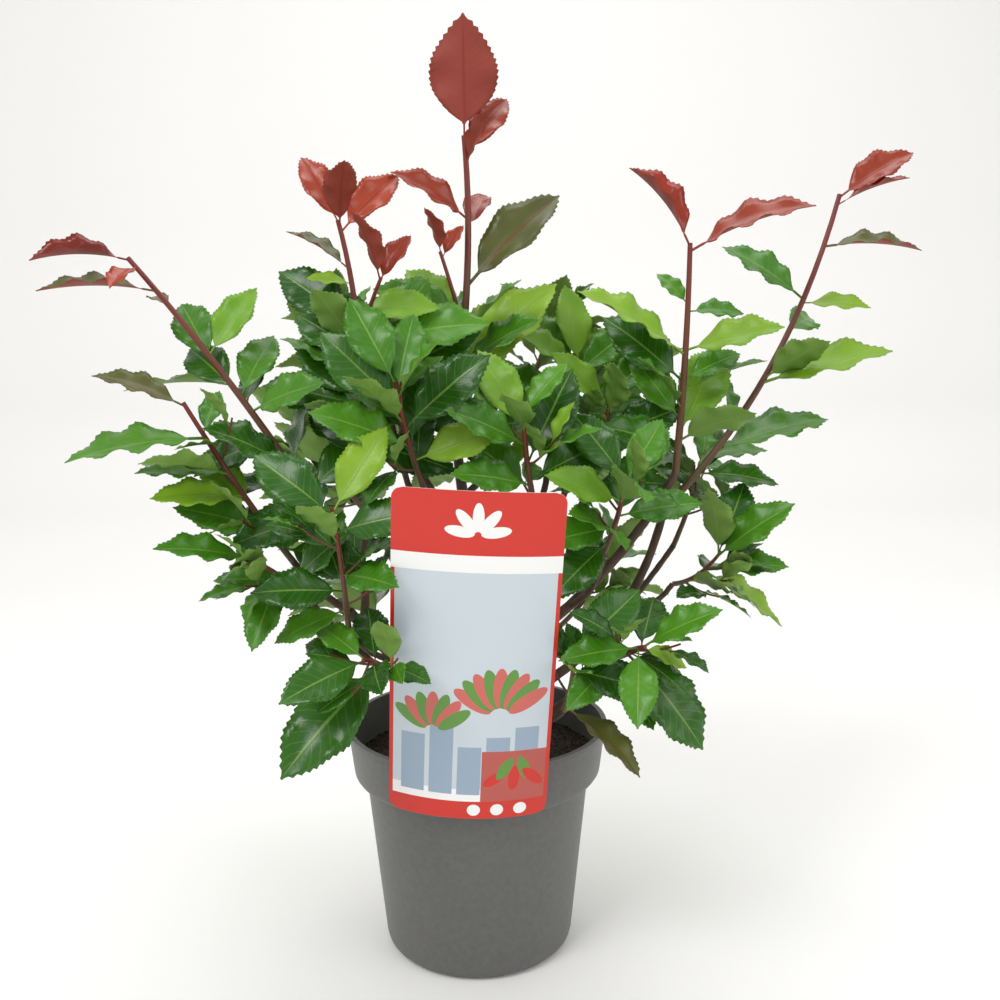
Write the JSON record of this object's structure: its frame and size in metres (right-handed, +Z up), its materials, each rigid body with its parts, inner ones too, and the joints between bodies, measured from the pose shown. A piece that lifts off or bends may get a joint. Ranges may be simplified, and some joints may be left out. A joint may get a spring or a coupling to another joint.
{
  "type": "potted flowering shrub",
  "caption": "Young red tip photinia shrub: branched stems with glossy green leaves and red new shoots, in a tapered nursery pot with a leaning plant label.",
  "frame": {"origin": "centre of the pot's flat underside", "axes": "+Z up along the pot's axis, -Y towards the side where the label leans out, +X to the right when seen from there"},
  "size_m": [0.6133, 0.3528, 0.6556],
  "materials": {
    "pot": "moulded grey, satin",
    "soil": "moist peat compost",
    "label": "printed card",
    "bark": "young bark",
    "foliage": "leathery leaves"
  },
  "bodies": {
    "root": {"bough_back_high_left": "bark", "bough_back_high_right": "bark", "bough_back_left": "bark", "bough_back_low_left": "bark", "bough_back_low_right": "bark", "bough_back_mid": "bark", "bough_back_right": "bark", "bough_centre_front": "bark", "bough_centre_left": "bark", "bough_centre_right": "bark", "bough_front_left": "bark", "bough_front_right": "bark", "bough_left_arm": "bark", "bough_left_front": "bark", "bough_left_low": "bark", "bough_left_rise": "bark", "bough_left_shank": "bark", "bough_left_spray": "bark", "bough_low_right": "bark", "bough_mid_right": "bark", "bough_right_back": "bark", "bough_right_inner": "bark", "bough_right_low": "bark", "bough_right_mid": "bark", "bough_right_rise": "bark", "bough_right_side": "bark", "label": "label", "leaves_back_high_left": "foliage", "leaves_back_high_right": "foliage", "leaves_back_left": "foliage", "leaves_back_low_left": "foliage", "leaves_back_low_right": "foliage", "leaves_back_mid": "foliage", "leaves_back_right": "foliage", "leaves_centre_front": "foliage", "leaves_centre_left": "foliage", "leaves_centre_right": "foliage", "leaves_far_left": "foliage", "leaves_front_left": "foliage", "leaves_front_right": "foliage", "leaves_leader": "foliage", "leaves_left_arm": "foliage", "leaves_left_front": "foliage", "leaves_left_shank": "foliage", "leaves_left_spray": "foliage", "leaves_low_right": "foliage", "leaves_mid_right": "foliage", "leaves_right_arch": "foliage", "leaves_right_back": "foliage", "leaves_right_inner": "foliage", "leaves_right_mid": "foliage", "leaves_right_side": "foliage", "leaves_right_tall": "foliage", "pot": "pot", "soil": "soil", "trunk": "bark"}
  },
  "joints": []
}
